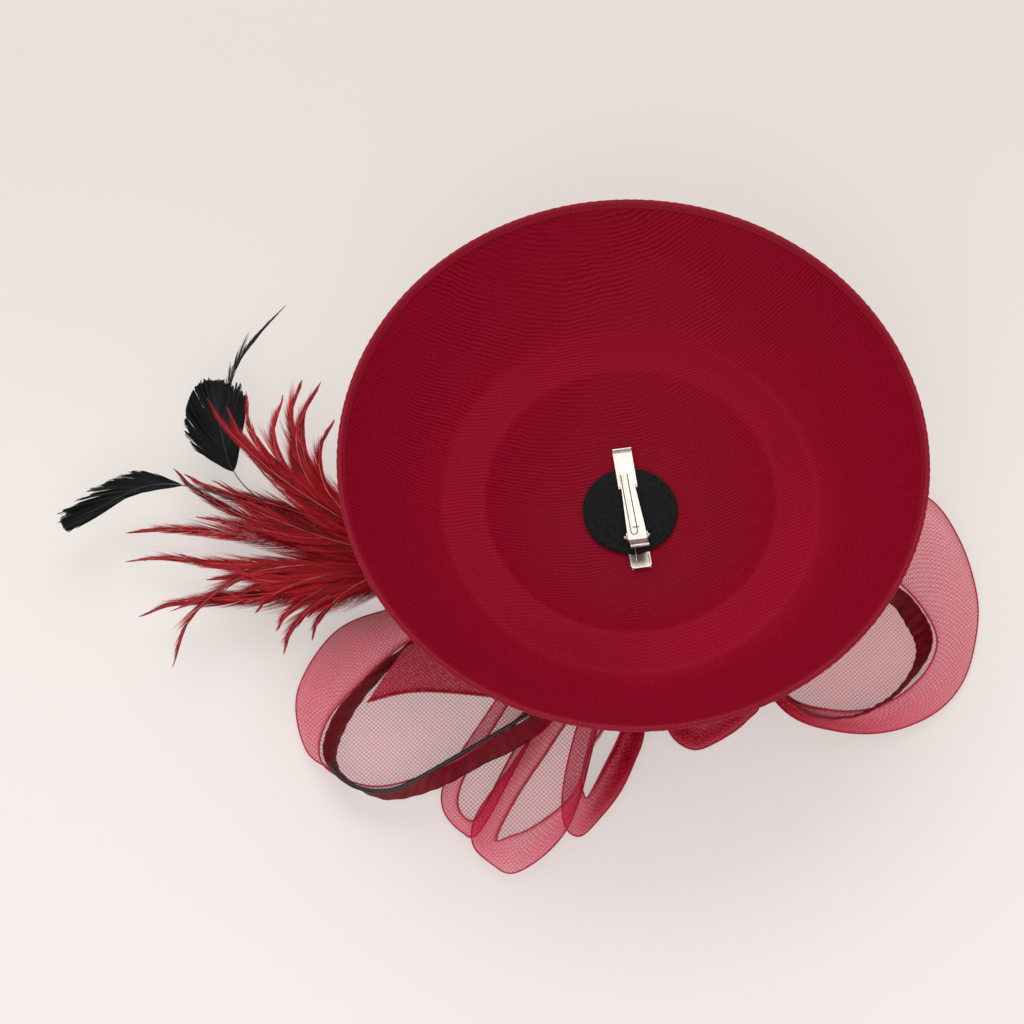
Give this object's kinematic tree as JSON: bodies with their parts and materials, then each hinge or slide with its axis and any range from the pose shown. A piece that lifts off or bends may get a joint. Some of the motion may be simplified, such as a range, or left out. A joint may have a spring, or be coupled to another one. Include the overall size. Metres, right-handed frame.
{
  "type": "fascinator headpiece",
  "caption": "Saucer fascinator with a head clip on a felt pad, feathers, crinoline petals and ribbon loops gathered round a rosette on its crown side.",
  "frame": {"origin": "centre of the felt pad's open face, which lies on the head", "axes": "+Z out of the pad's face, from the hat towards the head; the part is stored head side up, lying on its trim, and is turned over to be worn; -Y towards the bows and -X towards the feathers"},
  "size_m": [0.4341, 0.3016, 0.1015],
  "materials": {
    "saucer_satin": "ribbed satin, soft sheen",
    "pressed_core": "stiffened woven board, matt",
    "wire": "drawn wire",
    "edge_binding": "satin bias strip",
    "felt": "matt pressed felt",
    "clip_steel": "bright plated sheet",
    "ribbon_satin": "ribbed satin ribbon",
    "crinoline": "open braided mesh with a dense selvedge",
    "piping": "glossy black cord",
    "red_feather": "dyed hackle, soft",
    "black_feather": "dyed feather, slight gloss",
    "stem_tape": "wound cloth tape"
  },
  "bodies": {
    "headpiece": {"underside_cover": "saucer_satin", "crown_cover": "saucer_satin", "saucer_core": "pressed_core", "trim_backing": "felt", "rim_wire": "wire", "rim_binding": "edge_binding", "felt_pad": "felt", "clip_base": "clip_steel", "clip_pin": "clip_steel", "clip_spring": "clip_steel", "rosette_outer": "ribbon_satin", "rosette_inner": "ribbon_satin", "rosette_bud": "ribbon_satin", "petal_left": "crinoline", "petal_front_left": "crinoline", "petal_front": "crinoline", "petal_front_ring": "crinoline", "petal_front_right": "crinoline", "petal_right": "crinoline", "ribbon_loop_left": "ribbon_satin", "ribbon_piping": "piping", "ribbon_loop_right": "ribbon_satin", "feather_binding": "stem_tape", "red_hackle_01": "red_feather", "red_hackle_02": "red_feather", "red_hackle_03": "red_feather", "red_hackle_04": "red_feather", "red_hackle_05": "red_feather", "red_hackle_06": "red_feather", "red_hackle_07": "red_feather", "red_hackle_08": "red_feather", "red_hackle_09": "red_feather", "red_hackle_10": "red_feather", "red_hackle_11": "red_feather", "red_hackle_12": "red_feather", "red_hackle_13": "red_feather", "red_hackle_14": "red_feather", "red_hackle_15": "red_feather", "red_hackle_16": "red_feather", "red_hackle_17": "red_feather", "red_hackle_18": "red_feather", "red_hackle_19": "red_feather", "black_feather_long": "black_feather", "black_feather_round": "black_feather", "black_feather_slim": "black_feather"},
    "prong": {"clip_prong": "clip_steel"}
  },
  "joints": [
    {"name": "clip_opening", "type": "hinge", "parent": "headpiece", "child": "prong", "pos_m": [0.0029, -0.0146, 0.0024], "axis": [0.9898, 0.1426, 0], "range_deg": [0, 20], "stiffness_Nm_per_rad": 0.05, "springref_deg": -34.38, "deforming": ["clip_spring"]}
  ]
}
